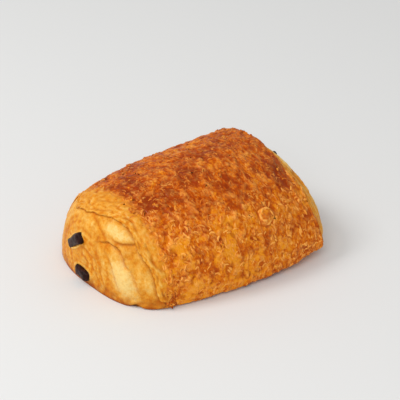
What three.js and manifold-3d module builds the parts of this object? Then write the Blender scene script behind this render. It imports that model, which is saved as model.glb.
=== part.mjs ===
// A pain au chocolat: one baked roll of laminated dough, with two chocolate batons that run
// through it from end to end and show at both ends.
//
// Frame, in millimetres: +X along the roll and its batons, +Z up, and -Y towards the front side.
// The origin is under the middle of the whole piece, on the surface that it rests on.
//
// The roll is a box of small faces, bent into shape. Its four long sides make the wrapped crust,
// from one rim to the other, and its two end faces make the bulging ends, where the inner turns
// of the dough push out past the rims. The batons lie in channels that are cut through the dough.
import * as THREE from "three";
import { mergeVertices } from "three/addons/utils/BufferGeometryUtils.js";
import Module from "manifold-3d";

// Height of the crest at the left rim, the middle and the right rim.
const CREST_HEIGHTS = [36.5, 42.5, 39];
// How far the crest lies behind the middle line, at the same three places.
const CREST_SHIFTS = [-4.3, -2.8, 5.2];

// Half widths at the same three places, of the front side and the back side.
const FRONT_WIDTHS = [33, 41.5, 43.5];
const BACK_WIDTHS = [33.5, 39, 30.5];

// How square the section is: 2 is an ellipse, and more is squarer.
const FRONT_SQUARENESS = [1.7, 2.1, 1.8];
const BACK_SQUARENESS = [2.75, 2, 1.9];
const FOOT_SQUARENESS = 3.4;

// Level of the widest line of the section.
const WIDEST_LEVELS = [1.6, 3.2, 7.7];
// The base is flat up to the lift start, and from there it curls up to the right rim.
const BASE_LIFT = 3;
const LIFT_START = 0.45;
const FLAT_SHARE = 1.12;

// Ends: where the rim of the outer wrap is, how far the end bulges out past it, and where the
// furthest point of the bulge is.
const LEFT_END = { side: -1, rim: -36, bulge: 13.4, centreY: 4, centreZ: 10 };
const RIGHT_END = { side: 1, rim: 37.4, bulge: 9.2, centreY: -18, centreZ: 14 };
const BULGE_FLATNESS = 3;
const BULGE_ROUNDNESS = 0.8;
const FOOT_REACH = 14;

// Creases between one turn of the dough and the next, as shares of the way from the furthest
// point of an end to its rim. They fade out towards the base.
const CREASES = [
  { at: 0.77, depth: 2.2, spread: 0.06 },
  { at: 0.46, depth: 1.2, spread: 0.06 },
];

// Faces of the box along X, Y and Z.
const FACES_X = 30;
const FACES_Y = 30;
const FACES_Z = 20;

// Batons: the section of each, and where it enters and leaves the dough.
const BATON_SIDES = 12;
const BATON_STEPS = 14;
const BATON_GAP = 0.3;
const BATONS = [
  {
    name: "chocolate_baton_upper",
    width: 11.5,
    thickness: 5,
    roll: -40,
    from: new THREE.Vector3(-49.3, 10, 17),
    to: new THREE.Vector3(45, -1, 27),
  },
  {
    name: "chocolate_baton_lower",
    width: 10,
    thickness: 5.5,
    roll: 15,
    from: new THREE.Vector3(-51.6, 5, 4.6),
    to: new THREE.Vector3(46.8, -12, 12.5),
  },
];

const wasm = await Module();
wasm.setup();

// A smooth curve through a value at the left rim, the middle and the right rim: u from -1 to 1.
function along([left, middle, right], u) {
  return middle + ((right - left) / 2) * u + ((right + left) / 2 - middle) * u * u;
}

function smoothStep(t) {
  const s = THREE.MathUtils.clamp(t, 0, 1);
  return s * s * (3 - 2 * s);
}

// The outline of the roll's section at u, in the direction of (a, b) on the square: [y, z].
function outline(u, a, b) {
  const angle = Math.atan2(Math.abs(b), Math.abs(a));
  const front = a < 0;
  const width = along(front ? FRONT_WIDTHS : BACK_WIDTHS, u);
  const level = along(WIDEST_LEVELS, u);
  const base = BASE_LIFT * smoothStep((u - LIFT_START) / (1 - LIFT_START));
  const squareness = along(front ? FRONT_SQUARENESS : BACK_SQUARENESS, u);
  const power = 2 / (b >= 0 ? squareness : FOOT_SQUARENESS);
  const rise = Math.sin(angle) ** power;
  const y = Math.sign(a) * width * Math.cos(angle) ** power;
  if (b < 0) return [y, level - (level - base) * Math.min(1, rise * FLAT_SHARE)];
  return [y + along(CREST_SHIFTS, u) * rise, level + (along(CREST_HEIGHTS, u) - level) * rise];
}

// A point of the rim of an end, in the direction of (a, b). At the foot, the rim reaches out to
// where the bulge stands on the surface.
function rim({ side, rim: x, bulge }, a, b) {
  const [y, z] = outline(side, a, b);
  const width = along(a < 0 ? FRONT_WIDTHS : BACK_WIDTHS, side);
  const across = (1 - Math.min(1, Math.abs(y / width)) ** BULGE_FLATNESS) ** BULGE_ROUNDNESS;
  return new THREE.Vector3(x + side * bulge * across * smoothStep(1 - z / FOOT_REACH), y, z);
}

// Where a point of the box, each coordinate from -1 to 1, goes on the roll.
function rollPoint(x, a, b) {
  const share = Math.max(Math.abs(a), Math.abs(b));
  if (share > 0.9999) {
    const [y, z] = outline(x, a, b);
    const start = rim(LEFT_END, a, b).x;
    const end = rim(RIGHT_END, a, b).x;
    return new THREE.Vector3(THREE.MathUtils.lerp(start, end, (x + 1) / 2), y, z);
  }
  const end = x < 0 ? LEFT_END : RIGHT_END;
  const tip = new THREE.Vector3(end.rim + end.side * end.bulge, end.centreY, end.centreZ);
  if (share < 1e-6) return tip;
  const border = rim(end, a / share, b / share);
  const out = (1 - share ** BULGE_FLATNESS) ** BULGE_ROUNDNESS;
  const upper = smoothStep(0.5 + (1.5 * b) / share);
  const point = new THREE.Vector3(
    THREE.MathUtils.lerp(border.x, tip.x, out),
    THREE.MathUtils.lerp(tip.y, border.y, share),
    THREE.MathUtils.lerp(tip.z, border.z, share),
  );
  for (const { at, depth, spread } of CREASES) {
    point.x -= end.side * depth * upper * Math.exp(-(((share - at) / spread) ** 2));
  }
  return point;
}

function toSolid(geometry) {
  geometry.deleteAttribute("normal");
  geometry.deleteAttribute("uv");
  const merged = mergeVertices(geometry, 1e-3);
  return new wasm.Manifold(
    new wasm.Mesh({
      numProp: 3,
      vertProperties: merged.attributes.position.array,
      triVerts: new Uint32Array(merged.index.array),
    }),
  );
}

function toGeometry(solid) {
  const mesh = solid.getMesh();
  return new THREE.BufferGeometry()
    .setAttribute("position", new THREE.BufferAttribute(mesh.vertProperties, 3))
    .setIndex(new THREE.BufferAttribute(mesh.triVerts, 1));
}

function rollSolid() {
  const box = new THREE.BoxGeometry(2, 2, 2, FACES_X, FACES_Y, FACES_Z);
  const place = box.attributes.position;
  for (let i = 0; i < place.count; i++) {
    const p = rollPoint(place.getX(i), place.getY(i), place.getZ(i));
    place.setXYZ(i, p.x, p.y, p.z);
  }
  return toSolid(box);
}

// A bar with rounded corners between two points, its section turned by roll degrees about X.
function batonGeometry({ width, thickness, roll, from, to }, grow = 0, overrun = 0) {
  const turn = THREE.MathUtils.degToRad(roll);
  const section = [];
  for (let i = 0; i < BATON_SIDES; i++) {
    const angle = (2 * Math.PI * (i + 0.5)) / BATON_SIDES;
    const w = Math.sign(Math.cos(angle)) * Math.abs(Math.cos(angle)) ** 0.6 * (width / 2 + grow);
    const t = Math.sign(Math.sin(angle)) * Math.abs(Math.sin(angle)) ** 0.6 * (thickness / 2 + grow);
    const across = w * Math.cos(turn) - t * Math.sin(turn);
    const up = w * Math.sin(turn) + t * Math.cos(turn);
    section.push(new THREE.Vector2(across, up));
  }
  const direction = to.clone().sub(from).normalize();
  const start = from.clone().addScaledVector(direction, -overrun);
  const end = to.clone().addScaledVector(direction, overrun);
  const bar = new THREE.ExtrudeGeometry(new THREE.Shape(section), {
    depth: start.distanceTo(end),
    steps: BATON_STEPS,
    bevelEnabled: false,
  });
  // The extrusion runs along +Z: its x goes to the part's Y, its y to Z, and its z along the baton.
  const across = new THREE.Vector3(0, 1, 0).addScaledVector(direction, -direction.y).normalize();
  const up = new THREE.Vector3().crossVectors(direction, across);
  bar.applyMatrix4(new THREE.Matrix4().makeBasis(across, up, direction).setPosition(start));
  return bar;
}

const crust = new THREE.MeshStandardMaterial({ color: 0xc9822f, roughness: 0.5, metalness: 0 });
const chocolate = new THREE.MeshStandardMaterial({ color: 0x2a1712, roughness: 0.45, metalness: 0 });

let dough = rollSolid();
for (const baton of BATONS) {
  dough = dough.subtract(toSolid(batonGeometry(baton, BATON_GAP, 10)));
}

const roll = new THREE.Group();
const doughRoll = new THREE.Mesh(toGeometry(dough), crust);
doughRoll.name = "dough_roll";
roll.add(doughRoll);
for (const baton of BATONS) {
  const bar = new THREE.Mesh(batonGeometry(baton), chocolate);
  bar.name = baton.name;
  roll.add(bar);
}

// Centre the whole piece over the origin, and stand it on the surface.
const extent = new THREE.Box3().setFromObject(roll);
const middle = extent.getCenter(new THREE.Vector3());
for (const mesh of roll.children) {
  mesh.geometry.translate(-middle.x, -middle.y, -extent.min.z);
}

export default roll;
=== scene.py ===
import math
import random
from bisect import bisect

import bmesh
import bpy
from mathutils import Matrix, Vector, noise
from mathutils.bvhtree import BVHTree
from mathutils.geometry import intersect_point_line


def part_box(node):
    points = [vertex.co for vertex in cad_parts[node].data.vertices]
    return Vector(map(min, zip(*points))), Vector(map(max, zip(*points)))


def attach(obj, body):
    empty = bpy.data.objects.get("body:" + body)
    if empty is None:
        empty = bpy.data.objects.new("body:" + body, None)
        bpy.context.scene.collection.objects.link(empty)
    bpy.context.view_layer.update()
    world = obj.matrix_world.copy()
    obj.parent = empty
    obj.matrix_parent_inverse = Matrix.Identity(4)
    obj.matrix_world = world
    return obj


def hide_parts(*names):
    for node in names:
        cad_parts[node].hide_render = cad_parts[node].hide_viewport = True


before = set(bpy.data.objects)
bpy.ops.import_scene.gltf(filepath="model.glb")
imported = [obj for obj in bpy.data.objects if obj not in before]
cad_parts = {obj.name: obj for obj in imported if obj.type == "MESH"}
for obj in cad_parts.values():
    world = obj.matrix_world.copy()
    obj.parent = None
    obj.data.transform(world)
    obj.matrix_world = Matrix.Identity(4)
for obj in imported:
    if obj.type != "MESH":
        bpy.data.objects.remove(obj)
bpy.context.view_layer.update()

# ---------------------------------------------------------------------------------------------
# The outer turn: the last wrap of a rolled sheet of laminated dough, which shuts underneath on
# its seam. Egg wash bakes to a blistered, flaky crust from rim to rim, and its cut sides show
# as a band of layers at each end. All lengths here are in millimetres until a mesh is done.
# ---------------------------------------------------------------------------------------------
MM = 0.001
low, high = (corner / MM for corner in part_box("dough_roll"))

# The roll's section at the left rim, the middle and the right rim.
CREST_HEIGHTS = (36, 41.9, 39.7)
CREST_SHIFTS = (-4.3, -2.8, 5.2)
FRONT_WIDTHS = (33, 41.5, 43.5)
BACK_WIDTHS = (33.5, 39, 30.5)
FRONT_SQUARENESS = (1.7, 2.1, 1.8)
BACK_SQUARENESS = (2.75, 2, 1.9)
WIDEST_LEVELS = (1.6, 3.2, 7.7)
FOOT_SQUARENESS = 3.4
MIDDLE_LINE = 2.27
BASE_LIFT = 3
LIFT_START = 0.45
FLAT_SHARE = 1.12

# The ends: how far each swells out past its rim, and where it swells most. On the left one the
# outer turn's lip follows a line of its own, (y, z); elsewhere it lies at a share of the radius.
LEFT_END = {
    "side": -1, "rim": low.x + 13.4, "bulge": 13.4, "roundness": 0.8, "tip": Vector((6.3, 10)),
    "lip": ((24.5, 28), (18.5, 27), (10, 29.3), (2.6, 30.8), (-5, 32.1), (-11.5, 30.4),
            (-16.8, 26.6), (-19.6, 23), (-22.4, 20.3), (-24.6, 17.9), (-26.6, 14.6),
            (-28.4, 9.5), (-29.3, 4.5)),
    "lip_share": 0.9,
}
RIGHT_END = {
    "side": 1, "rim": high.x - 9.2, "bulge": 9.2, "roundness": 1.25, "tip": Vector((-15.7, 14)),
    "lip": (), "lip_share": 0.87,
}
BULGE_FLATNESS = 3
FOOT_ROUNDNESS = 0.8
FOOT_REACH = 14
RIM_SLANT = 1
OUTER_REACH = 0.75


def along(values, u):
    """A smooth curve through a value at the left rim, the middle and the right rim."""
    left, middle, right = values
    return middle + (right - left) / 2 * u + ((right + left) / 2 - middle) * u * u


def ease(t):
    t = min(max(t, 0), 1)
    return t * t * (3 - 2 * t)


def section(u, angle):
    """The roll's outline at u, from -1 at the left rim to 1 at the right: (y, z)."""
    across, up = math.cos(angle), math.sin(angle)
    front = across < 0
    width = along(FRONT_WIDTHS if front else BACK_WIDTHS, u)
    level = along(WIDEST_LEVELS, u)
    squareness = along(FRONT_SQUARENESS if front else BACK_SQUARENESS, u)
    power = 2 / (squareness if up >= 0 else FOOT_SQUARENESS)
    rise = abs(up) ** power
    y = MIDDLE_LINE + math.copysign(width * abs(across) ** power, across)
    if up < 0:
        base = BASE_LIFT * ease((u - LIFT_START) / (1 - LIFT_START))
        return Vector((y, level - (level - base) * min(1, rise * FLAT_SHARE)))
    crest = along(CREST_HEIGHTS, u)
    return Vector((y + along(CREST_SHIFTS, u) * rise, level + (crest - level) * rise))


def rim_point(end, angle, reached=1):
    """A point of an end's rim. At the foot it reaches out to where the bulge stands."""
    y, z = section(end["side"], angle)
    slant = RIM_SLANT * ease((z - 24) / 14) if end is RIGHT_END else 0
    width = along(FRONT_WIDTHS if y < MIDDLE_LINE else BACK_WIDTHS, end["side"])
    share = min(1, abs(y - MIDDLE_LINE) / width)
    reach = (1 - share**BULGE_FLATNESS) ** FOOT_ROUNDNESS * ease(1 - z / FOOT_REACH)
    return Vector((end["rim"] - slant + end["side"] * end["bulge"] * reach * reached, y, z))


def side_point(u, angle):
    """A point of the wrapped side, from the left rim at u = -1 to the right at u = 1."""
    start, stop = rim_point(LEFT_END, angle, OUTER_REACH), rim_point(RIGHT_END, angle, OUTER_REACH)
    return Vector((start.x + (stop.x - start.x) * (u + 1) / 2, *section(u, angle)))


def end_point(end, angle, share):
    """A point of a swollen end: share is 0 at its tip and 1 at the rim."""
    rim = rim_point(end, angle)
    out = max(0, 1 - share**BULGE_FLATNESS) ** end["roundness"]
    x = rim.x + (end["rim"] + end["side"] * end["bulge"] - rim.x) * out
    return Vector((x, *end["tip"].lerp(rim.yz, share)))


def lip_share(end, angle):
    """Where on the radius the outer turn's lip lies."""
    ray = rim_point(end, angle).yz - end["tip"]
    bearing = math.degrees(math.atan2(ray.y, ray.x)) % 360
    if not end["lip"]:
        return end["lip_share"] + 0.04 * noise.noise(Vector((3 * angle, 0, 1)))
    polar = []
    for spot in end["lip"]:
        off = Vector(spot) - end["tip"]
        polar.append((math.degrees(math.atan2(off.y, off.x)) % 360, off.length / ray.length))
    if bearing < polar[0][0] or bearing > polar[-1][0]:
        gap = min((bearing - polar[-1][0]) % 360, (polar[0][0] - bearing) % 360)
        near = polar[-1] if (bearing - polar[-1][0]) % 360 < 180 else polar[0]
        return near[1] + (end["lip_share"] - near[1]) * ease(gap / 30)
    place = max(1, bisect([p[0] for p in polar], bearing))
    place = min(place, len(polar) - 1)
    (first, a), (second, b) = polar[place - 1], polar[place]
    return a + (b - a) * (bearing - first) / (second - first)


def foot_share(angle):
    """1 along the foot of an end, where the inner turns reach the surface it stands on."""
    return 1 - ease(math.sin(angle) / 0.12) if math.sin(angle) > 0 else 1


# Rows run along the roll: tucked under the left lip, over its band, the crust, and back in.
TUCK_ROWS = 5
BAND_ROWS = 16
CRUST_ROWS = 214
TUCK_DEPTH = 4
FOOT_TUCK = 5
COLUMNS = 330
BASE_DETAIL = 0.12
BASE_TOP = 0.4

rows = [("left", "tuck", 1 - i / TUCK_ROWS) for i in range(TUCK_ROWS)]
rows += [("left", "band", 1 - i / BAND_ROWS) for i in range(BAND_ROWS)]
rows += [("side", "crust", 2 * i / CRUST_ROWS - 1) for i in range(CRUST_ROWS + 1)]
rows += [("right", "band", (i + 1) / BAND_ROWS) for i in range(BAND_ROWS)]
rows += [("right", "tuck", (i + 1) / TUCK_ROWS) for i in range(TUCK_ROWS)]

# Columns run around it, spread evenly over the side that shows and thinly over the base.
fine_angles = [math.radians(d / 4 - 90) for d in range(1441)]
lengths = [0]
for first, second in zip(fine_angles, fine_angles[1:]):
    step = (section(0, second) - section(0, first)).length
    lengths.append(lengths[-1] + step * (BASE_DETAIL if section(0, second).y < BASE_TOP else 1))
columns = []
for i in range(COLUMNS + 1):
    place = min(max(bisect(lengths, lengths[-1] * i / COLUMNS), 1), len(lengths) - 1)
    columns.append(fine_angles[place - 1] if i < COLUMNS else fine_angles[0])

outer = bmesh.new()
bmesh.ops.create_grid(outer, x_segments=len(rows) - 1, y_segments=COLUMNS, size=1)
ends = {"left": LEFT_END, "right": RIGHT_END}
lip_shares = {name: [lip_share(end, angle) for angle in columns] for name, end in ends.items()}
spots = []
for v in outer.verts:
    row = round((v.co.x + 1) / 2 * (len(rows) - 1))
    column = round((v.co.y + 1) / 2 * COLUMNS)
    end_name, part, t = rows[row]
    angle = columns[column]
    if part == "crust":
        v.co = side_point(t, angle)
    else:
        end, lip = ends[end_name], lip_shares[end_name][column]
        share = lip if part == "tuck" else 1 + (lip - 1) * t
        v.co = end_point(end, angle, share + (0.03 * t if part == "tuck" else 0))
        v.co.x -= end["side"] * foot_share(angle) * FOOT_TUCK * min(1, 4 * t if part == "band" else 1)
        if part == "tuck":
            v.co.x -= end["side"] * TUCK_DEPTH * t
    spots.append((part, end_name, t, angle, column))
bmesh.ops.reverse_faces(outer, faces=outer.faces)
outer.normal_update()

# How far each column is around the roll, for patterns that follow the surface.
around_at = [0]
for first, second in zip(columns, columns[1:]):
    around_at.append(around_at[-1] + (section(0, second) - section(0, first)).length)

BIG_BLISTER = Vector((14.8, -33.9, 26.3))
BLISTER_RADIUS = 3.8

# Where the crust took more colour: middle, radius and how much darker.
BROWN_PATCHES = (
    ((7.3, -2.4, 42.5), 2.4, 0.5), ((-4.7, -10, 41), 6, 0.28), ((7.4, -18.7, 39), 2.6, 0.3),
    ((10.6, -26.8, 33.9), 1.1, 0.7), ((-16, -12.6, 39), 6, 0.25), ((-29.6, 5, 37), 8, 0.25),
    ((-28.5, -11, 36), 5, 0.3), ((33, -18.6, 34.4), 6, 0.2), ((30, -26, 30.6), 5, 0.15),
    ((29.3, -32.1, 25.8), 0.8, 0.7), ((11.6, -37.7, 19.5), 2.8, 0.4), ((34.6, -40.2, 11), 8, 0.22),
    ((-33, -31, 4), 4, 0.5), ((-31, -27, 20), 3.5, 0.3), ((-18, -33, 17), 4.5, 0.22),
    ((24, 0, 41), 9, 0.15), ((-2, 2, 42), 9, 0.15),
)


def crust_relief(x, around):
    """Height of lumps, height of small flakes and blisters, how light their tops are (pale flake edges and
    painted glaze highlight), how dark their pits and sunk rings are (painted shade).
    """
    spot = Vector((x, around, 0))
    bend = Vector((noise.noise(spot / 6), noise.noise(spot / 6 + Vector((0, 0, 8))), 0)) * 2
    bend += Vector((noise.noise(spot / 1.8), noise.noise(spot / 1.8 + Vector((0, 0, 5))), 0)) * 0.7
    spot += bend
    lumps = -0.5 * noise.noise(spot / 17) - 0.5 * noise.noise(spot / 7 + Vector((9, 0, 0)))
    # Blisters: scattered small domes, each of its own size, in a sunk ring.
    gaps, centres = noise.voronoi(Vector((spot.x / 3, spot.y / 3.6, 5)))
    size = 0.5 * max(0.05, noise.cell(centres[0] * 5.37))
    reach = gaps[0] / size
    dome = max(0, 1 - reach * reach)
    ring = math.exp(-(((reach - 1.2) / 0.3) ** 2))
    # Flake edges: short curled ridges, most of them running around the roll.
    edge = noise.noise(Vector((spot.x / 2.2, spot.y / 4, 2)))
    edge = max(0, 1 - abs(edge) * 4) ** 0.8 * ease(0.4 + 1.7 * noise.noise(spot / 3 + Vector((0, 5, 1))))
    pit = ease(3 * noise.noise(Vector((spot.x / 2.4, spot.y / 3.4, 31))) - 0.4)
    step = ease(0.5 + 3 * noise.noise(Vector((spot.x / 3.6, spot.y / 6, 21))))
    small = 0.34 * dome ** 0.7 - 0.12 * ring + 0.4 * edge + 0.25 * step - 0.2 * pit
    # Tops of flake edges and blisters are coloured light: partly pale flake edges, partly painted glaze
    # highlight.
    light = min(1, 0.9 * edge + 0.7 * dome ** 0.6) * (1 - 0.6 * pit)
    # Pits and the sunk rings round blisters are coloured dark: painted shade in these hollows.
    return lumps, small, light, min(1, 0.5 * pit + 0.55 * ring)


LAYER_SPACING = 1.7
BAND_RADIUS = 32


def band_relief(gap, around, seed):
    """The cut layers of the outer turn, gap millimetres from its lip."""
    shift = 1.6 * noise.noise(Vector((gap / 4, around / 9, seed)))
    layer = ((gap + shift) / LAYER_SPACING) % 1
    valley = math.exp(-((min(layer, 1 - layer) / 0.16) ** 2))
    strength = ease(0.6 + 1.5 * noise.noise(Vector((gap / 2, around / 6, seed + 5))))
    fine = noise.noise(Vector((gap * 1.7, around / 2.5, seed + 3)))
    return (0.35 * layer - 0.45 * valley) * strength + 0.22 * fine, valley * strength, fine


LAYERS = ("bake", "flake_and_highlight", "pit_shade", "pale", "crease_shade", "bare")


def new_layers(mesh):
    return {name: mesh.verts.layers.float.new(name) for name in LAYERS}


marks = new_layers(outer)
moves = []
for v, (part, end_name, t, angle, column) in zip(outer.verts, spots):
    around = around_at[column]
    x, _, z = v.co
    width = (1 - lip_shares["left"][column]) * BAND_RADIUS
    if part == "crust":
        past_rim = max(LEFT_END["rim"] - x, x - RIGHT_END["rim"], 0)
        from_left = x - rim_point(LEFT_END, angle).x + 2.5 * noise.noise(Vector((x / 4, around / 4, 6)))
        bare = max(ease(past_rim / 2), 0.85 * (1 - ease((from_left + 0.5) / 4)))
        crusty = (0.35 + 0.65 * ease(from_left / 4)) * (1 - ease(past_rim / 2))
        gap, fade = width + max(0, from_left), 0.8 * (1 - ease(from_left / 7))
    elif part == "band":
        crusty = 0.35 * (1 - t)
        bare = 0.85 + 0.15 * t if end_name == "left" else ease(t * 2.5 + 0.2)
        gap, fade = (1 - t) * (width if end_name == "left" else 4), 1 if end_name == "left" else ease(t * 3)
    else:
        crusty, bare, gap, fade = 0, 1, 0, 0
    lumps, small, light, ring = crust_relief(x, around)
    out = lumps * (1 - ease(t * 1.3) if part == "band" else 1) + small * crusty
    off = v.co - BIG_BLISTER
    from_blister = off.length / BLISTER_RADIUS * (1 + 0.3 * noise.noise(off.normalized() * 1.3))
    if from_blister < 2:
        dome = max(0, 1 - from_blister**2)
        sunk = math.exp(-(((from_blister - 1.12) / 0.16) ** 2))
        out += 0.9 * dome**0.6 - 0.3 * sunk
        # The dome's rim is coloured light as painted highlight, and its sunk ring dark as painted shade.
        light = min(1, light * 0.7 + 0.2 * dome + 0.8 * math.exp(-(((from_blister - 0.88) / 0.1) ** 2)))
        ring = max(ring, 0.6 * sunk)
    if fade:
        relief, valley, fine = band_relief(gap, around, 4)
        out += relief * fade + 0.3 * math.exp(-((gap / 1.4) ** 2))
        v[marks["pale"]] = 0.36 + 0.55 * fine
        # Valleys between the cut layers are coloured darker: painted shade.
        v[marks["crease_shade"]] = 0.6 * valley * fade
    # The dough tucked under the lip is coloured darker: painted shade.
    if part == "tuck":
        v[marks["crease_shade"]] = 0.7
    # Light flake tops carry painted highlight, and pits painted shade.
    v[marks["flake_and_highlight"]] = light * crusty
    v[marks["pit_shade"]] = ring * crusty
    v[marks["bare"]] = bare
    top = ease((v.normal.z - 0.15) / 0.75) * ease((z - 18) / 18)
    right = ease((x - 10) / 30)
    patch = noise.noise(Vector((x / 9, around / 12, 4)))
    patch += 0.8 * noise.noise(Vector((x / 3.4, around / 5, 9)))
    by_rim = math.exp(-((max(0, x - LEFT_END["rim"]) / 7) ** 2)) * ease((32 - z) / 10)
    left = ease((-5 - x) / 20)
    v[marks["bake"]] = 0.22 + (0.36 + 0.1 * left) * top + 0.05 * right + 0.42 * patch - 0.16 * by_rim
    for spot, radius, browner in BROWN_PATCHES:
        reach = (v.co - Vector(spot)).length_squared / radius**2
        if reach < 4:
            v[marks["bake"]] += browner * math.exp(-(reach**1.3))
    v[marks["bake"]] *= 1 - bare
    v[marks["bake"]] += 0.35 * ease((5 - z) / 5) * (0.6 + patch)
    on_base = ease((1.5 - z) / 1.5) * ease(-v.normal.z * 2)
    moves.append(v.normal * out * (1 - on_base) if part != "tuck" else Vector())
for v, move in zip(outer.verts, moves):
    v.co += move
    v.co.z = max(v.co.z, 0)
outer.normal_update()
crust_spots = [
    (v.co.copy(), v.normal.copy(), t)
    for v, (part, end_name, t, angle, column) in zip(outer.verts, spots)
    if part == "crust" and v.co.z > 1.5
]
bmesh.ops.remove_doubles(outer, verts=outer.verts, dist=0.0005)
bmesh.ops.holes_fill(outer, edges=[e for e in outer.edges if e.is_boundary])
bmesh.ops.recalc_face_normals(outer, faces=outer.faces)
crust_surface = BVHTree.FromBMesh(outer)


def finish_piece(mesh, name, material, node="dough_roll"):
    """Turns a mesh in millimetres into a piece that stands for a node."""
    bmesh.ops.scale(mesh, vec=(MM, MM, MM), verts=mesh.verts)
    for face in mesh.faces:
        face.smooth = True
    data = bpy.data.meshes.new(name)
    mesh.to_mesh(data)
    mesh.free()
    piece = bpy.data.objects.new(name, data)
    bpy.context.scene.collection.objects.link(piece)
    data.materials.append(material)
    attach(piece, "root")
    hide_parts(node)


# The finish of baked dough: egg-glazed crust from golden to red-brown, with pale flake edges that also
# carry painted glaze highlight and painted shade in its pits, and bare dough that is cream where it
# stretched, with orange painted shade in its creases.
CRUST_COLOURS = (
    (0.0, (0.86, 0.30, 0.010)), (0.25, (0.74, 0.19, 0.003)), (0.5, (0.58, 0.105, 0.001)),
    (0.75, (0.43, 0.062, 0.001)), (1.0, (0.28, 0.032, 0.001)),
)
# Pale flake edges, partly painted glaze highlight.
PALE_EDGE_AND_HIGHLIGHT_COLOUR = (1.0, 0.44, 0.085)
# Painted shade in pits and in the sunk rings round blisters.
PIT_SHADE_COLOUR = (0.36, 0.040, 0.001)
BARE_COLOURS = (
    (0.0, (0.68, 0.20, 0.008)), (0.25, (0.80, 0.32, 0.025)), (0.55, (0.87, 0.45, 0.08)),
    (0.9, (0.92, 0.62, 0.21)),
)
# Painted shade in creases, in valleys between cut layers and under the outer turn's lip.
CREASE_SHADE_COLOUR = (0.50, 0.12, 0.006)
TOASTED_COLOUR = (0.40, 0.09, 0.006)


def ramp(tree, factor, *stops):
    node = tree.nodes.new("ShaderNodeValToRGB")
    while len(node.color_ramp.elements) < len(stops):
        node.color_ramp.elements.new(0.5)
    for element, (place, colour) in zip(node.color_ramp.elements, stops):
        element.position = place
        element.color = (*colour, 1)
    tree.links.new(factor, node.inputs["Fac"])
    return node.outputs["Color"]


def fill(tree, socket, value):
    """Links a node's output to a socket, or sets a number or a colour on it."""
    if hasattr(value, "is_output"):
        tree.links.new(value, socket)
    elif isinstance(value, tuple):
        socket.default_value = (*value, 1)
    else:
        socket.default_value = value


def mix(tree, factor, first, second):
    node = tree.nodes.new("ShaderNodeMix")
    node.data_type = "RGBA"
    fill(tree, node.inputs[0], factor)
    fill(tree, node.inputs[6], first)
    fill(tree, node.inputs[7], second)
    return node.outputs[2]


def sum_of(tree, *terms):
    """Adds up (value, weight) terms."""
    total = None
    for value, weight in terms:
        node = tree.nodes.new("ShaderNodeMath")
        node.operation = "MULTIPLY_ADD"
        fill(tree, node.inputs[0], value)
        node.inputs[1].default_value = weight
        fill(tree, node.inputs[2], 0.0 if total is None else total)
        total = node.outputs[0]
    return total


def attribute(tree, name):
    node = tree.nodes.new("ShaderNodeAttribute")
    node.attribute_name = name
    return node.outputs["Fac"]


def millimetres(tree, stretch=(1, 1, 1)):
    """The object's own coordinates in millimetres, finer along an axis that is stretched."""
    coordinates = tree.nodes.new("ShaderNodeTexCoord")
    mapping = tree.nodes.new("ShaderNodeMapping")
    mapping.inputs["Scale"].default_value = [s / MM for s in stretch]
    tree.links.new(coordinates.outputs["Object"], mapping.inputs["Vector"])
    return mapping.outputs["Vector"]


def grain(tree, scale, detail, stretch=(1, 1, 1), distortion=0, seed=0):
    node = tree.nodes.new("ShaderNodeTexNoise")
    node.noise_dimensions = "4D"
    node.inputs["W"].default_value = seed
    node.inputs["Scale"].default_value = scale
    node.inputs["Detail"].default_value = detail
    node.inputs["Roughness"].default_value = 0.6
    node.inputs["Distortion"].default_value = distortion
    tree.links.new(millimetres(tree, stretch), node.inputs["Vector"])
    return node.outputs["Fac"]


def cells(tree, scale):
    """Distance to the middle of scattered cells."""
    node = tree.nodes.new("ShaderNodeTexVoronoi")
    node.inputs["Scale"].default_value = scale
    tree.links.new(millimetres(tree), node.inputs["Vector"])
    return node.outputs["Distance"]


def distance_from_half(tree, value):
    away = sum_of(tree, (value, 1), (1.0, -0.5))
    node = tree.nodes.new("ShaderNodeMath")
    node.operation = "ABSOLUTE"
    tree.links.new(away, node.inputs[0])
    return node.outputs[0]


def product(tree, first, second):
    node = tree.nodes.new("ShaderNodeMath")
    node.operation = "MULTIPLY"
    fill(tree, node.inputs[0], first)
    fill(tree, node.inputs[1], second)
    return node.outputs[0]


def clamped(tree, *terms):
    """A sum of (value, weight) terms, kept between 0 and 1."""
    total = sum_of(tree, *terms)
    total.node.use_clamp = True
    return total


def add_bump(tree, shader, height):
    bump = tree.nodes.new("ShaderNodeBump")
    bump.inputs["Strength"].default_value = 0.6
    bump.inputs["Distance"].default_value = 0.4 * MM
    tree.links.new(height, bump.inputs["Height"])
    tree.links.new(bump.outputs["Normal"], shader.inputs["Normal"])


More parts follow.
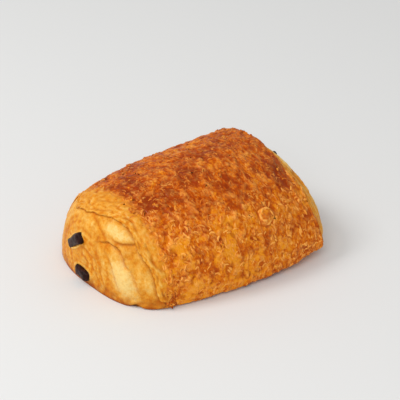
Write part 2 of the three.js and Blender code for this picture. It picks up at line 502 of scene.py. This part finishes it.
def dough_material():
    material = bpy.data.materials.new("baked_dough")
    material.use_nodes = True
    tree = material.node_tree
    shader = tree.nodes["Principled BSDF"]
    fine = grain(tree, 0.5, 5)
    specks = grain(tree, 1.2, 3, stretch=(1.5, 0.7, 0.7))
    loops = grain(tree, 0.3, 1, stretch=(1.5, 0.9, 0.9), distortion=1.6)
    loops = clamped(tree, (1.0, 1.3), (distance_from_half(tree, loops), -28))
    curls = grain(tree, 0.42, 1, stretch=(1.8, 0.8, 0.8), distortion=1.3, seed=5)
    curls = clamped(tree, (1.0, 1.3), (distance_from_half(tree, curls), -26))
    broken = clamped(tree, (grain(tree, 0.5, 2, seed=9), 6), (1.0, -2.8))
    strokes = product(tree, clamped(tree, (loops, 1), (curls, 1)), broken)
    beads = clamped(tree, (1.0, 1.1), (cells(tree, 0.62), -3))
    # Light flake edges, strokes and beads: partly pale dough, partly painted glaze highlight.
    light = clamped(tree, (attribute(tree, "flake_and_highlight"), 0.5), (strokes, 0.65), (beads, 0.12))
    light = product(tree, light, clamped(tree, (1.0, 1.2), (attribute(tree, "bake"), -0.85)))
    browning = sum_of(tree, (attribute(tree, "bake"), 1), (fine, 1.8), (specks, 1.3), (1.0, -1.55))
    crust = ramp(tree, browning, *CRUST_COLOURS)
    crust = mix(tree, light, crust, PALE_EDGE_AND_HIGHLIGHT_COLOUR)
    # Painted shade in pits and sunk rings.
    crust = mix(tree, attribute(tree, "pit_shade"), crust, PIT_SHADE_COLOUR)
    paleness = sum_of(tree, (attribute(tree, "pale"), 0.9), (fine, 1.1), (specks, 0.8), (1.0, -0.98))
    bare = ramp(tree, paleness, *BARE_COLOURS)
    # Painted shade in creases and under the outer turn's lip.
    bare = mix(tree, attribute(tree, "crease_shade"), bare, CREASE_SHADE_COLOUR)
    bare = mix(tree, attribute(tree, "bake"), bare, TOASTED_COLOUR)
    colour = mix(tree, attribute(tree, "bare"), crust, bare)
    tree.links.new(colour, shader.inputs["Base Color"])
    shader.inputs["Roughness"].default_value = 0.4
    shader.inputs["Specular IOR Level"].default_value = 0.05
    shader.inputs["Coat Weight"].default_value = 0.07
    shader.inputs["Coat Roughness"].default_value = 0.13
    add_bump(tree, shader, sum_of(tree, (grain(tree, 1.2, 3), 0.5), (light, 0.8)))
    return material


dough_finish = dough_material()
finish_piece(outer, "outer_turn", dough_finish)


# ---------------------------------------------------------------------------------------------
# The inner turns: the coil of dough inside the outer one. It shows at both ends, where it
# swelled out past the rims in creased, pale lobes around the batons. One solid for each end.
# ---------------------------------------------------------------------------------------------
INNER_FACES_ACROSS = 190
INNER_FACES_UP = 110
FOOT_FACES = 0.14
INNER_DEPTH = 5
BACK_MIDDLE = Vector((0, 14))
BACK_SHARE = 0.85
FLOOR_GAP = 0.02

# Creases as (y, z) on the left end. The side that the outer turn lies on stands proud.
CREASES = (
    {"line": ((-5, 25.9), (-9.8, 25), (-13, 24.6), (-16, 25.2), (-19, 25.6)),
     "depth": 0.9, "lip": 0.1, "width": 0.9},
    {"line": ((2, 20), (-3, 22.6), (-7.4, 23.6), (-10.9, 22.9), (-13.4, 21.6), (-15.6, 19.3),
              (-17.4, 16.4), (-18.4, 14.6)),
     "depth": 1.3, "lip": 0.9, "width": 1.3},
    {"line": ((-16.8, 18.2), (-18.9, 15.7), (-20.6, 13), (-23, 8), (-24.6, 3.5)),
     "depth": 0.5, "lip": 0.4, "width": 1.4},
    {"line": ((-3.7, 21.3), (-8.3, 18.5), (-11, 14.6), (-13.7, 9.5), (-16, 4)),
     "depth": 0.6, "lip": 0.1, "width": 2},
    {"line": ((9, 17.5), (4.9, 16.3), (-1.1, 14), (-4.5, 10.5), (-6.6, 5.6), (-7, 2)),
     "depth": 0.8, "lip": 0.3, "width": 1.2},
    {"line": ((7, 11.7), (5.9, 11.5), (0.5, 10.3), (-2.6, 7.1), (-4.5, 4.2), (-5, 2)),
     "depth": 0.5, "lip": 0.2, "width": 1},
)

# The pale lobes between them: centre, half size across and up, turn, and how far each swells.
LOBES = (
    {"at": (-9.5, 27.7), "size": (8, 2.4), "turn": 14, "swell": 0.8, "pale": 1},
    {"at": (-16.4, 11), "size": (6.2, 11.5), "turn": -31, "swell": 1.1, "pale": 1.05},
    {"at": (-25.8, 11.8), "size": (2.1, 6.5), "turn": -20, "swell": 0.5, "pale": 0.7},
)

# Where the batons come out, with a pale lip of dough around each.
MOUTHS = (
    {"at": (12, 16.6), "size": (5.4, 2.4), "turn": -40},
    {"at": (7, 4.6), "size": (5, 2.8), "turn": 0},
)


def crease_reach(line, point):
    """(signed distance, share of the way along) of a point to a crease: outside is positive."""
    best = (1e9, 0, 1)
    for i in range(len(line) - 1):
        start, stop = Vector(line[i]), Vector(line[i + 1])
        t = min(max(intersect_point_line(point, start, stop)[1], 0), 1)
        step, off = stop - start, point - start.lerp(stop, t)
        if off.length < best[0]:
            best = (off.length, (i + t) / (len(line) - 1),
                    1 if step.x * off.y - step.y * off.x < 0 else -1)
    return best[0] * best[2], best[1]


def end_relief(point, seed):
    """How far an end's surface stands out at (y, z), how creased it is (coloured with painted shade), and
    how pale it is.
    """
    out, crease_shade, pale = 0, 0, 0
    wobble = Vector((noise.noise(Vector((*point / 5, seed))),
                     noise.noise(Vector((*point / 5, seed + 7))))) * 0.5
    for c in CREASES:
        gap, t = crease_reach(c["line"], point + wobble)
        fade = ease(t * 2.5) * ease((1 - t) * 4) if abs(gap) < 8 else 0
        if gap > 0:
            out += fade * c["lip"] * (math.exp(-((gap / 2.2) ** 2)) - math.exp(-((gap / 0.4) ** 2)))
            out -= fade * c["depth"] * math.exp(-((gap / 0.3) ** 2))
        else:
            out -= fade * c["depth"] * math.exp(gap / c["width"])
        crease_shade = max(crease_shade, fade * min(1, c["depth"]) * math.exp(-abs(gap) / 0.5))
    for lobe in LOBES:
        off = Matrix.Rotation(math.radians(-lobe["turn"]), 2) @ (point + wobble - Vector(lobe["at"]))
        far = (off.x / lobe["size"][0]) ** 2 + (off.y / lobe["size"][1]) ** 2
        out += lobe["swell"] * math.exp(-far)
        pale = max(pale, lobe["pale"] * math.exp(-(far**1.5)))
    for mouth in MOUTHS:
        off = Matrix.Rotation(math.radians(-mouth["turn"]), 2) @ (point - Vector(mouth["at"]))
        ring = math.hypot(off.x / mouth["size"][0], off.y / mouth["size"][1])
        ring = math.exp(-(((ring - 1.1) / 0.22) ** 2))
        out += 0.5 * ring
        pale = max(pale, 0.75 * ring)
    swirl = noise.noise(Vector(((point - LEFT_END["tip"]).length * 0.6, point.x / 15, seed)))
    out += 0.22 * swirl + 0.12 * noise.noise(Vector((*point * 0.8, seed)))
    wrinkle = noise.noise(Vector((point.x / 1.3, point.y / 2.6, seed + 2)))
    return out + 0.12 * wrinkle, crease_shade, max(pale, 0.32 + 0.5 * swirl + 0.15 * wrinkle)


for end_name, end in ends.items():
    inner = bmesh.new()
    bmesh.ops.create_grid(inner, x_segments=INNER_FACES_ACROSS, y_segments=INNER_FACES_UP, size=1)
    spots = []
    for v in inner.verts:
        a, b, _ = v.co
        t = (b + 1) / 2
        b = t / FOOT_FACES - 1 if t < FOOT_FACES else (t - FOOT_FACES) / (1 - FOOT_FACES)
        share = max(abs(a), abs(b), 1e-6)
        angle = math.atan2(math.tan(math.pi / 4 * b / share), math.tan(math.pi / 4 * a / share))
        lip = lip_share(end, angle)
        edge = lip + 0.025
        edge += (1 - edge) * foot_share(angle)
        v.co = end_point(end, angle, share * edge)
        v.co.x -= end["side"] * 0.8 * ease((share - 0.92) / 0.08) * (1 - foot_share(angle))
        if end is LEFT_END:
            under = math.exp(-(((v.co.y + 22.2) / 2) ** 2)) * (1 - ease(v.co.z / 4))
            v.co += Vector((0.9, 0, 1.5)) * under
        spots.append((share, angle))
    if end is LEFT_END:
        bmesh.ops.reverse_faces(inner, faces=inner.faces)
    inner.normal_update()
    marks = new_layers(inner)
    moves = []
    for v, (share, angle) in zip(inner.verts, spots):
        point = v.co.yz
        if end is RIGHT_END:
            left = rim_point(LEFT_END, angle).yz
            point = LEFT_END["tip"].lerp(left, share * lip_share(LEFT_END, angle))
        out, crease_shade, pale = end_relief(point, end["side"])
        # Creases, and the border under the outer turn's lip, are coloured darker: painted shade.
        v[marks["crease_shade"]] = max(crease_shade, ease((share - 0.93) / 0.05) * ease(v.co.z / 4))
        v[marks["pale"]] = pale
        v[marks["bare"]] = 1
        toasted = 0.5 + 0.9 * noise.noise(Vector((*point / 2.2, 3)))
        v[marks["bake"]] = 0.5 * ease((2 - v.co.z) / 2) + 0.9 * ease((7 - v.co.z) / 6) * toasted
        v[marks["bake"]] += 0.3 * (1 - pale) * ease(0.35 + noise.noise(Vector((*point / 3.5, 11))))
        moves.append(v.normal * out * (1 - ease((share - 0.96) / 0.04)) * ease(v.co.z / 2 + 0.2))
    for v, move in zip(inner.verts, moves):
        v.co += move
        v.co.z = max(v.co.z, FLOOR_GAP)
    border = [e for e in inner.edges if e.is_boundary]
    back = bmesh.ops.extrude_edge_only(inner, edges=border)["geom"]
    back = [v for v in back if isinstance(v, bmesh.types.BMVert)]
    for v in back:
        v.co = Vector((end["rim"] - end["side"] * INNER_DEPTH,
                       *BACK_MIDDLE.lerp(v.co.yz, BACK_SHARE)))
    bmesh.ops.holes_fill(inner, edges=[e for e in inner.edges if e.is_boundary])
    bmesh.ops.recalc_face_normals(inner, faces=inner.faces)
    finish_piece(inner, "inner_turns_" + end_name, dough_finish)


# ---------------------------------------------------------------------------------------------
# Loose flakes: the glaze splits as the dough swells, and its edges curl up into thin pale
# ridges all over the crust, their paleness partly painted glaze highlight. Shards lift off along
# the rims and burn at the left rim's foot.
# ---------------------------------------------------------------------------------------------
FLAKE_THICKNESS = 0.16
FLAKE_EMBEDDING = 0.12
CURLS = 1700
BLISTER_CURLS = 7
CURL_POINTS = 9
CURL_LENGTHS = (1, 3.4)
CURL_WIDTHS = (0.7, 1.3)
CURL_HEIGHTS = (0.08, 0.24)
CURL_EMBEDDING = 0.15
CRUST_FLAKES = 120
RIM_FLAKES = 60
FOOT_SHARDS = 34
draw = random.Random(7)


def add_curl(mesh, at, normal, slant, length, width, height, bend, drift=0):
    """A split's raised edge: a low ridge that winds over the crust, thinning to its ends."""
    heading = normal.cross(Vector((1, 0, 0))).normalized()
    heading.rotate(Matrix.Rotation(slant, 3, normal))
    made = bmesh.ops.create_grid(mesh, x_segments=4, y_segments=CURL_POINTS - 1, size=1)["verts"]
    made.sort(key=lambda v: v.co.y)
    for i in range(CURL_POINTS):
        t = 2 * i / (CURL_POINTS - 1) - 1
        thin = math.sqrt(max(0.04, 1 - t * t))
        side = heading.cross(normal)
        for v in made[5 * i:5 * i + 5]:
            a = v.co.x
            up = (1 - a * a) * height * thin - CURL_EMBEDDING * a * a
            v.co = at + side * a * width / 2 * thin + normal * up
        step = length / (CURL_POINTS - 1)
        heading.rotate(Matrix.Rotation((bend + drift * t) * step, 3, normal))
        at, normal, _, _ = crust_surface.find_nearest(at + heading * step)
        heading = (heading - normal * heading.dot(normal)).normalized()
    return made


def add_flake(mesh, at, normal, length, width, curl, turn):
    """A thin irregular shard with an edge that lifts: length around the roll, width along it."""
    around_way = normal.cross(Vector((1, 0, 0))).normalized()
    along_way = around_way.cross(normal)
    basis = Matrix((along_way, around_way, normal)).transposed()
    basis = basis @ Matrix.Rotation(turn, 3, "Z")
    made = bmesh.ops.create_grid(mesh, x_segments=3, y_segments=4, size=1)["verts"]
    seed = draw.random() * 100
    for v in made:
        a, b = v.co.x, v.co.y
        reach = max(abs(a), abs(b), 1e-6) / max(math.hypot(a, b), 1e-6)
        reach *= 1 + 0.35 * noise.noise(Vector((math.atan2(b, a), seed, 0)))
        lift = curl * (0.5 + 0.5 * a) ** 2 + 0.15 * noise.noise(Vector((a, b, seed)))
        v.co = at + basis @ Vector((a * reach * width, b * reach * length, lift - FLAKE_EMBEDDING))
    return made


curls = bmesh.new()
marks = new_layers(curls)
for _ in range(CURLS):
    at, normal, _ = draw.choice(crust_spots)
    bend = draw.uniform(-0.8, 0.8)
    # A curl's paleness is partly pale flake edge, partly painted glaze highlight.
    light = draw.uniform(0.1, 1) * (1 - 0.4 * ease((at.z - 26) / 12))
    toasted = draw.uniform(0.2, 0.5) + 0.3 * ease((at.z - 26) / 12)
    height = draw.uniform(*CURL_HEIGHTS) * (1 - 0.6 * ease((at.z - 28) / 8))
    for v in add_curl(curls, at, normal, draw.gauss(0, 0.6), draw.uniform(*CURL_LENGTHS),
                      draw.uniform(*CURL_WIDTHS), height, bend, draw.uniform(-0.4, 0.4)):
        v[marks["bake"]] = toasted
        v[marks["flake_and_highlight"]] = 2 * light
for i in range(BLISTER_CURLS):
    turn = math.tau * i / BLISTER_CURLS
    at, normal, _, _ = crust_surface.find_nearest(BIG_BLISTER)
    spoke = normal.cross(Vector((1, 0, 0))).normalized()
    spoke.rotate(Matrix.Rotation(turn, 3, normal))
    radius = BLISTER_RADIUS * draw.uniform(0.8, 1.05)
    at, normal, _, _ = crust_surface.find_nearest(at + spoke * radius)
    for v in add_curl(curls, at, normal, turn + math.pi / 2, radius * 0.85, 1.3, 0.28, 1 / radius):
        # The curls round the blister are coloured pale: painted highlight on its rim.
        v[marks["bake"]] = 0.2
        v[marks["flake_and_highlight"]] = 1.7
bmesh.ops.holes_fill(curls, edges=[e for e in curls.edges if e.is_boundary])
bmesh.ops.recalc_face_normals(curls, faces=curls.faces)
finish_piece(curls, "crust_curls", dough_finish)

near_left = [spot for spot in crust_spots if spot[2] < -0.93]
near_right = [spot for spot in crust_spots if spot[2] > 0.97]
at_foot = [spot for spot in crust_spots if spot[2] < -0.88 and spot[0].y < -26 and spot[0].z < 8]
flakes = bmesh.new()
tones = []
for count, places, largest, burnt in (
    (CRUST_FLAKES, crust_spots, 1.7, 0.35),
    (RIM_FLAKES, near_left, 1.5, 0.3),
    (RIM_FLAKES, near_right, 1.2, 0.6),
    (FOOT_SHARDS, at_foot, 1.6, 0.8),
):
    for _ in range(count):
        at, normal, _ = draw.choice(places)
        size = largest * draw.uniform(0.35, 1)
        made = add_flake(flakes, at, normal, size, size * draw.uniform(0.3, 0.6),
                         draw.uniform(0.02, 0.25),
                         draw.gauss(0, 0.5) + (math.pi if draw.random() < 0.5 else 0))
        tones.append((len(made), burnt + draw.uniform(-0.25, 0.25), draw.random()))
marks = new_layers(flakes)
flakes.verts.ensure_lookup_table()
start = 0
for count, bake, light in tones:
    for v in flakes.verts[start:start + count]:
        v[marks["bake"]] = bake
        # A flake's paleness is partly painted glaze highlight.
        v[marks["flake_and_highlight"]] = light * 0.8
    start += count
bmesh.ops.solidify(flakes, geom=flakes.faces, thickness=FLAKE_THICKNESS)
bmesh.ops.recalc_face_normals(flakes, faces=flakes.faces)
for v in flakes.verts:
    v.co.z = max(v.co.z, FLOOR_GAP)
finish_piece(flakes, "crust_flakes", dough_finish)


# ---------------------------------------------------------------------------------------------
# The batons: two bars of dark baking chocolate. They melt a little as the roll bakes and set
# again, so their ends are rounded and dull. They are held by the dough around them.
# ---------------------------------------------------------------------------------------------
BATON_ROUNDING = 1.6
CUTS_ALONG = 60
CUTS_ACROSS = 8
CHOCOLATE_COLOURS = (
    (0.35, (0.010, 0.002, 0.001)), (0.55, (0.028, 0.006, 0.004)), (0.75, (0.08, 0.028, 0.02)),
)
BATONS = {
    "upper": {"width": 13, "thickness": 4.8, "turn": -40,
              "start": Vector((-48, 12.3, 16.4)), "stop": Vector((48.5, 0.8, 26.7))},
    "lower": {"width": 9.2, "thickness": 4.6, "turn": 0,
              "start": Vector((-49, 7, 4.2)), "stop": Vector((49.2, -9.7, 12.5))},
}


def chocolate_material():
    material = bpy.data.materials.new("dark_chocolate")
    material.use_nodes = True
    tree = material.node_tree
    shader = tree.nodes["Principled BSDF"]
    bloom = grain(tree, 0.5, 4)
    tree.links.new(ramp(tree, bloom, *CHOCOLATE_COLOURS), shader.inputs["Base Color"])
    shader.inputs["Roughness"].default_value = 0.42
    shader.inputs["Specular IOR Level"].default_value = 0.14
    add_bump(tree, shader, bloom)
    return material


chocolate = chocolate_material()
for name, bar in BATONS.items():
    direction = (bar["stop"] - bar["start"]).normalized()
    across = (Vector((0, 1, 0)) - direction * direction.y).normalized()
    basis = Matrix((across, direction.cross(across), direction)).transposed()
    length = (bar["stop"] - bar["start"]).length
    baton = bmesh.new()
    bmesh.ops.create_cube(baton, size=1)
    bmesh.ops.scale(baton, vec=(bar["width"], bar["thickness"], length), verts=baton.verts)
    bmesh.ops.bevel(baton, geom=baton.edges, offset=BATON_ROUNDING, segments=4, profile=0.5,
                    affect="EDGES", material=-1)
    long_edges = [e for e in baton.edges if e.calc_length() > length / 2]
    bmesh.ops.subdivide_edges(baton, edges=long_edges, cuts=CUTS_ALONG, use_grid_fill=True)
    wide_edges = [e for e in baton.edges if 2 < e.calc_length() < length / 2]
    bmesh.ops.subdivide_edges(baton, edges=wide_edges, cuts=CUTS_ACROSS, use_grid_fill=True)
    turn = Matrix.Rotation(math.radians(bar["turn"]), 3, "Z")
    bmesh.ops.rotate(baton, matrix=turn, verts=baton.verts)
    bmesh.ops.transform(baton, matrix=basis.to_4x4(), verts=baton.verts)
    bmesh.ops.translate(baton, vec=(bar["start"] + bar["stop"]) / 2, verts=baton.verts)
    baton.normal_update()
    for v in baton.verts:
        v.co += v.normal * (0.35 * noise.noise(v.co / 2.8) + 0.25 * noise.noise(v.co / 1.1))
    finish_piece(baton, "baton_" + name, chocolate, "chocolate_baton_" + name)


# ---------------------------------------------------------------------------------------------
# The studio: a plain pale floor, soft light from behind and to the left, and the camera.
# ---------------------------------------------------------------------------------------------
floor_mesh = bpy.data.meshes.new("floor")
floor = bmesh.new()
bmesh.ops.create_grid(floor, x_segments=1, y_segments=1, size=3)
floor.to_mesh(floor_mesh)
floor.free()
floor = bpy.data.objects.new("floor", floor_mesh)
bpy.context.scene.collection.objects.link(floor)
paper = bpy.data.materials.new("pale_paper")
paper.use_nodes = True
shader = paper.node_tree.nodes["Principled BSDF"]
shader.inputs["Base Color"].default_value = (0.80, 0.80, 0.79, 1)
shader.inputs["Roughness"].default_value = 0.9
shader.inputs["Specular IOR Level"].default_value = 0.1
floor.data.materials.append(paper)

world = bpy.data.worlds.new("studio")
bpy.context.scene.world = world
world.use_nodes = True
world.node_tree.nodes["Background"].inputs["Color"].default_value = (1, 1, 1, 1)
world.node_tree.nodes["Background"].inputs["Strength"].default_value = 0.53

TARGET = Vector((7, -1.4, 22)) * MM
CAMERA_AZIMUTH = -39
CAMERA_ELEVATION = 30
CAMERA_DISTANCE = 0.676


def towards(azimuth, elevation):
    turn, lift = math.radians(azimuth), math.radians(elevation)
    return Vector((math.sin(turn) * math.cos(lift), -math.cos(turn) * math.cos(lift), math.sin(lift)))


def softbox(name, azimuth, elevation, distance, size, power):
    light = bpy.data.lights.new(name, "AREA")
    light.shape = "SQUARE"
    light.size = size
    light.energy = power
    lamp = bpy.data.objects.new(name, light)
    back = towards(azimuth, elevation)
    lamp.location = TARGET + back * distance
    lamp.rotation_euler = back.to_track_quat("Z", "Y").to_euler()
    bpy.context.scene.collection.objects.link(lamp)


softbox("key", azimuth=-122, elevation=48, distance=1.0, size=0.35, power=3.8)
softbox("fill", azimuth=-50, elevation=42, distance=1.2, size=0.7, power=4.8)

camera_data = bpy.data.cameras.new("camera")
camera = bpy.data.objects.new("camera", camera_data)
bpy.context.scene.collection.objects.link(camera)
bpy.context.scene.camera = camera
back = towards(CAMERA_AZIMUTH, CAMERA_ELEVATION)
camera.location = TARGET + back * CAMERA_DISTANCE
camera.rotation_euler = back.to_track_quat("Z", "Y").to_euler()
camera_data.lens = 147.3
camera_data.sensor_width = 36
camera_data.clip_start = 0.01

bpy.context.scene.view_settings.view_transform = "Standard"
